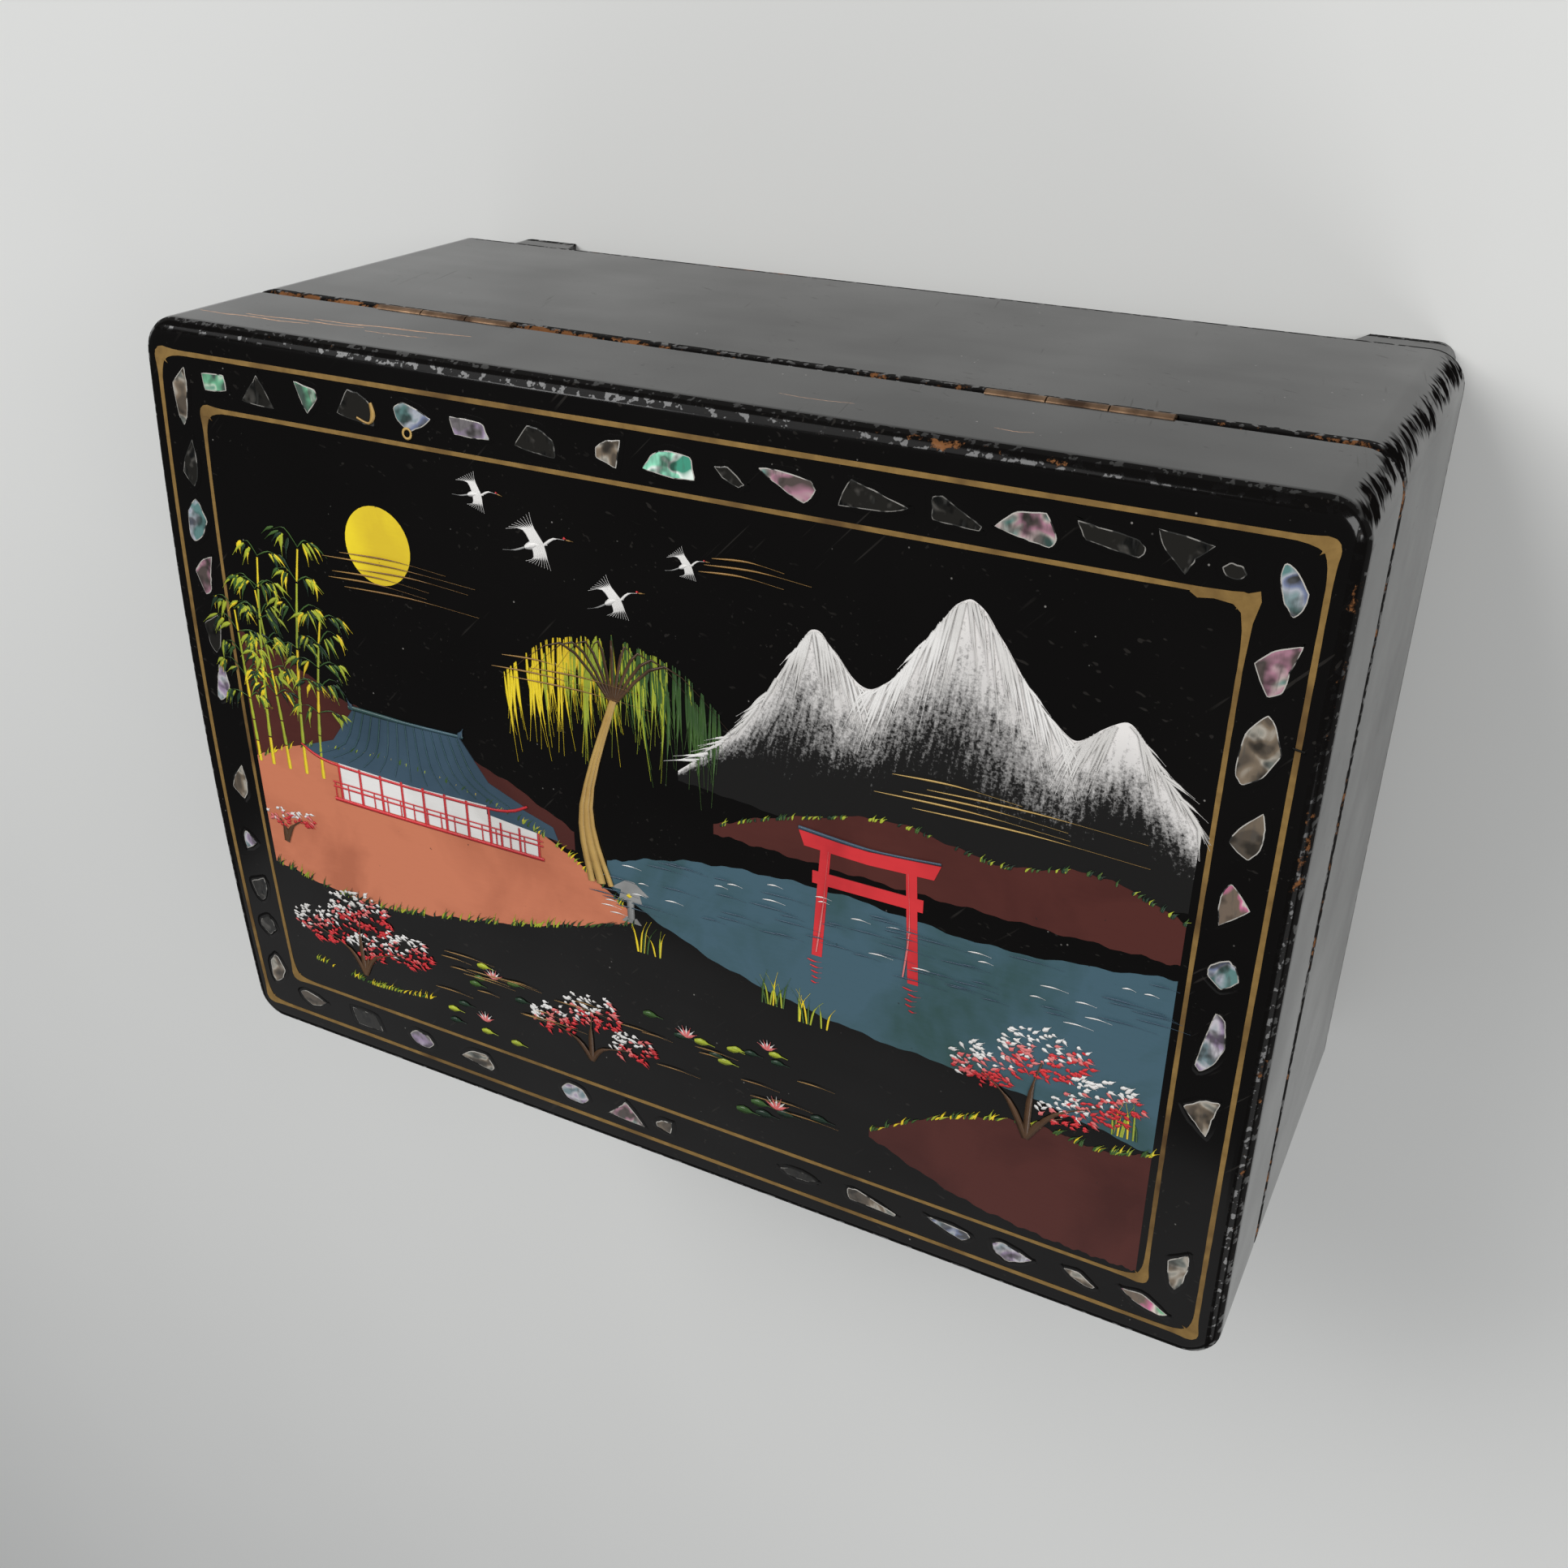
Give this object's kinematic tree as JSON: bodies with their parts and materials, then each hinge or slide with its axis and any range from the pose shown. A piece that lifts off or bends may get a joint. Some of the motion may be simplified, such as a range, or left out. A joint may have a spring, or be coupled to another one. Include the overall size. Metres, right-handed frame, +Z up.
{
  "type": "jewelry box",
  "caption": "Black lacquered wooden jewelry box with a hinged crowned lid, gold-lined and shell-inlaid border, lid mirror and lift-out tray.",
  "frame": {"origin": "on the surface that the feet rest on, under the middle of the box", "axes": "+Z up with the lid on top, the front towards -Y, the hinges on the +Y side, and +X to the right seen from the front"},
  "size_m": [0.254, 0.1826, 0.1258],
  "materials": {
    "black_lacquer": "high gloss black lacquer over wood, fine scratches and worn edges",
    "red_lacquer": "satin dark red lacquer over wood",
    "velvet": "deep red velvet over card and foam",
    "bare_wood": "bare planed wood",
    "brass": "aged brass with a brown patina",
    "mirror": "silvered glass"
  },
  "bodies": {
    "case": {"case_front": "black_lacquer", "case_back": "black_lacquer", "case_left": "black_lacquer", "case_right": "black_lacquer", "case_floor": "black_lacquer", "foot_front_left": "black_lacquer", "foot_back_left": "black_lacquer", "foot_front_right": "black_lacquer", "foot_back_right": "black_lacquer", "lining_front": "velvet", "lining_back": "velvet", "lining_left": "velvet", "lining_right": "velvet", "floor_pad": "velvet", "ledge_left": "bare_wood", "ledge_right": "bare_wood", "lower_divider_cross": "velvet", "lower_divider_long": "velvet", "hinge_left_case_leaf": "brass", "hinge_left_pin": "brass", "hinge_left_case_screw_1": "brass", "hinge_left_case_screw_2": "brass", "hinge_right_case_leaf": "brass", "hinge_right_pin": "brass", "hinge_right_case_screw_1": "brass", "hinge_right_case_screw_2": "brass", "stay_case_stud": "brass"},
    "lid": {"lid_front": "black_lacquer", "lid_back": "black_lacquer", "lid_left": "black_lacquer", "lid_right": "black_lacquer", "lid_panel": "black_lacquer", "mirror_strip_front": "red_lacquer", "mirror_strip_back": "red_lacquer", "mirror_strip_left": "red_lacquer", "mirror_strip_right": "red_lacquer", "mirror_glass": "mirror", "hinge_left_lid_leaf": "brass", "hinge_left_lid_screw_1": "brass", "hinge_left_lid_screw_2": "brass", "hinge_right_lid_leaf": "brass", "hinge_right_lid_screw_1": "brass", "hinge_right_lid_screw_2": "brass", "stay_lid_stud": "brass"},
    "tray": {"tray_front": "red_lacquer", "tray_back": "red_lacquer", "tray_left": "red_lacquer", "tray_right": "red_lacquer", "tray_floor": "velvet", "tray_divider_rolls": "velvet", "tray_divider_long": "velvet", "tray_divider_short": "velvet", "ring_roll_1": "velvet", "ring_roll_2": "velvet", "ring_roll_3": "velvet", "tray_ribbon_right": "velvet", "tray_ribbon_left": "velvet"},
    "stay": {"stay_arm": "brass"}
  },
  "joints": [
    {"name": "lid_hinge", "type": "hinge", "parent": "case", "child": "lid", "pos_m": [0, 0.0897, 0.091], "axis": [-1, 0, 0], "range_deg": [0, 100]},
    {"name": "stay_swing", "type": "hinge", "parent": "lid", "child": "stay", "pos_m": [0.1153, 0.0597, 0.099], "axis": [1, 0, 0], "range_deg": [0, 50]},
    {"name": "tray_lift", "type": "slide", "parent": "case", "child": "tray", "axis": [0, 0, 1], "range_m": [0, 0.018]}
  ],
  "couplings": [
    {"joint": "stay_swing", "follows": "lid_hinge", "ratio": 0.5}
  ]
}
